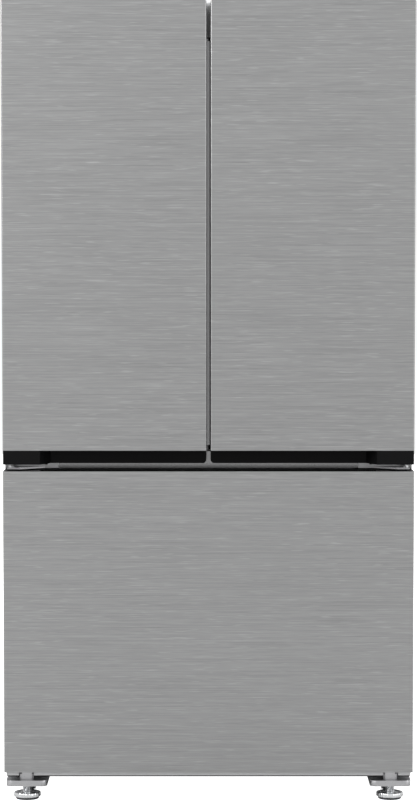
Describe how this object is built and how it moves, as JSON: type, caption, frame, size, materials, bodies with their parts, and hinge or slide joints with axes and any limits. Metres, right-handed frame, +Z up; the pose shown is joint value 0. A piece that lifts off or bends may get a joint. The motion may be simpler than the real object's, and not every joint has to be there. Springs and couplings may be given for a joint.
{
  "type": "french door refrigerator",
  "caption": "Free-standing refrigerator with side-by-side upper doors over a pull-out freezer drawer, recessed finger grips and levelling feet.",
  "frame": {"origin": "on the floor under the middle of the overall box", "axes": "+Z up; the doors and the drawer face -Y; +X to the right seen from the front"},
  "size_m": [0.908, 0.72, 1.77],
  "materials": {
    "stainless_doors": "satin",
    "painted_shell": "satin",
    "galvanised": "matte",
    "rail_grey": "satin",
    "light_plastic": "matte",
    "black_cap": "satin",
    "white_liner": "satin",
    "foam": "matte",
    "gasket_grey": "matte",
    "clear_bin": "gloss",
    "shelf_glass": "gloss",
    "frame_trim": "satin",
    "lamp_lens": "gloss",
    "zinc_hinge": "satin",
    "chrome_foot": "polished",
    "slide_steel": "satin",
    "dark_plastic": "matte",
    "roller_nylon": "satin",
    "compressor_black": "satin",
    "fin_aluminium": "satin",
    "fan_white": "satin"
  },
  "bodies": {
    "cabinet": {"outer_shell": "painted_shell", "back_panel": "galvanised", "base_pan": "galvanised", "insulation_foam": "foam", "fridge_liner": "white_liner", "freezer_liner": "white_liner", "mid_rail": "rail_grey", "hinge_cover": "light_plastic", "top_hinges": "zinc_hinge", "middle_hinges": "zinc_hinge", "hinge_screws": "zinc_hinge", "mullion_guide": "white_liner", "air_duct": "white_liner", "shelf_ladders": "frame_trim", "glass_shelves": "shelf_glass", "shelf_frames": "frame_trim", "light_panel": "lamp_lens", "freezer_duct_cover": "white_liner", "evaporator": "fin_aluminium", "compressor": "compressor_black", "condenser": "fin_aluminium", "drip_tray": "dark_plastic", "machine_cover": "galvanised", "power_inlet": "dark_plastic", "fixed_slides": "slide_steel", "foot_brackets": "zinc_hinge"},
    "left_door": {"left_door_skin": "stainless_doors", "left_door_foam": "foam", "left_door_liner": "white_liner", "left_top_cap": "dark_plastic", "left_bottom_cap": "black_cap", "left_door_gasket": "gasket_grey", "left_door_bins": "clear_bin"},
    "right_door": {"right_door_skin": "stainless_doors", "right_door_foam": "foam", "right_door_liner": "white_liner", "right_top_cap": "dark_plastic", "right_bottom_cap": "black_cap", "right_door_gasket": "gasket_grey", "right_door_bins": "clear_bin"},
    "mullion": {"mullion_bar": "rail_grey"},
    "freezer_drawer": {"drawer_skin": "stainless_doors", "drawer_foam": "foam", "drawer_liner": "white_liner", "drawer_top_cap": "black_cap", "drawer_bottom_cap": "light_plastic", "drawer_gasket": "gasket_grey", "drawer_basket": "clear_bin", "moving_slides": "slide_steel"},
    "freezer_tray": {"freezer_tray": "clear_bin"},
    "left_crisper": {"left_crisper": "clear_bin"},
    "right_crisper": {"right_crisper": "clear_bin"},
    "freezer_fan": {"freezer_fan": "fan_white"},
    "condenser_fan": {"condenser_fan": "dark_plastic"},
    "left_foot_sole": {"left_foot_sole": "dark_plastic"},
    "left_foot_screw": {"left_foot_screw": "chrome_foot"},
    "right_foot_sole": {"right_foot_sole": "dark_plastic"},
    "right_foot_screw": {"right_foot_screw": "chrome_foot"},
    "front_rollers": {"front_rollers": "roller_nylon"},
    "rear_rollers": {"rear_rollers": "roller_nylon"}
  },
  "joints": [
    {"name": "left_door_hinge", "type": "hinge", "parent": "cabinet", "child": "left_door", "pos_m": [-0.436, -0.318, 0.751], "axis": [0, 0, -1], "range_deg": [0, 115]},
    {"name": "right_door_hinge", "type": "hinge", "parent": "cabinet", "child": "right_door", "pos_m": [0.436, -0.318, 0.751], "axis": [0, 0, 1], "range_deg": [0, 115]},
    {"name": "mullion_flip", "type": "hinge", "parent": "left_door", "child": "mullion", "pos_m": [-0.046, -0.276, 0.789], "axis": [0, 0, 1], "range_deg": [0, 90]},
    {"name": "freezer_drawer_slide", "type": "slide", "parent": "cabinet", "child": "freezer_drawer", "axis": [0, -1, 0], "range_m": [0, 0.35]},
    {"name": "freezer_tray_slide", "type": "slide", "parent": "freezer_drawer", "child": "freezer_tray", "axis": [0, 1, 0], "range_m": [0, 0.1]},
    {"name": "left_crisper_slide", "type": "slide", "parent": "cabinet", "child": "left_crisper", "axis": [0, -1, 0], "range_m": [0, 0.08]},
    {"name": "right_crisper_slide", "type": "slide", "parent": "cabinet", "child": "right_crisper", "axis": [0, -1, 0], "range_m": [0, 0.08]},
    {"name": "freezer_fan_spin", "type": "hinge", "parent": "cabinet", "child": "freezer_fan", "pos_m": [0, 0.206, 0.621], "axis": [0, 1, 0], "continuous": true},
    {"name": "condenser_fan_spin", "type": "hinge", "parent": "cabinet", "child": "condenser_fan", "pos_m": [0.142, 0.235, 0.148], "axis": [1, 0, 0], "continuous": true},
    {"name": "left_foot_extend", "type": "slide", "parent": "cabinet", "child": "left_foot_sole", "axis": [0, 0, 1], "range_m": [-0.015, 0]},
    {"name": "left_foot_turn", "type": "hinge", "parent": "left_foot_sole", "child": "left_foot_screw", "pos_m": [-0.405, -0.322, 0], "axis": [0, 0, 1], "range_deg": [-2700.01, 0.01]},
    {"name": "right_foot_extend", "type": "slide", "parent": "cabinet", "child": "right_foot_sole", "axis": [0, 0, 1], "range_m": [-0.015, 0]},
    {"name": "right_foot_turn", "type": "hinge", "parent": "right_foot_sole", "child": "right_foot_screw", "pos_m": [0.405, -0.322, 0], "axis": [0, 0, 1], "range_deg": [-2700.01, 0.01]},
    {"name": "front_roller_spin", "type": "hinge", "parent": "cabinet", "child": "front_rollers", "pos_m": [0, -0.25, 0.016], "axis": [1, 0, 0], "continuous": true},
    {"name": "rear_roller_spin", "type": "hinge", "parent": "cabinet", "child": "rear_rollers", "pos_m": [0, 0.3, 0.02], "axis": [1, 0, 0], "continuous": true}
  ],
  "couplings": [
    {"joint": "left_foot_turn", "follows": "left_foot_extend", "rad_per_m": 3141.6},
    {"joint": "right_foot_turn", "follows": "right_foot_extend", "rad_per_m": 3141.6}
  ]
}
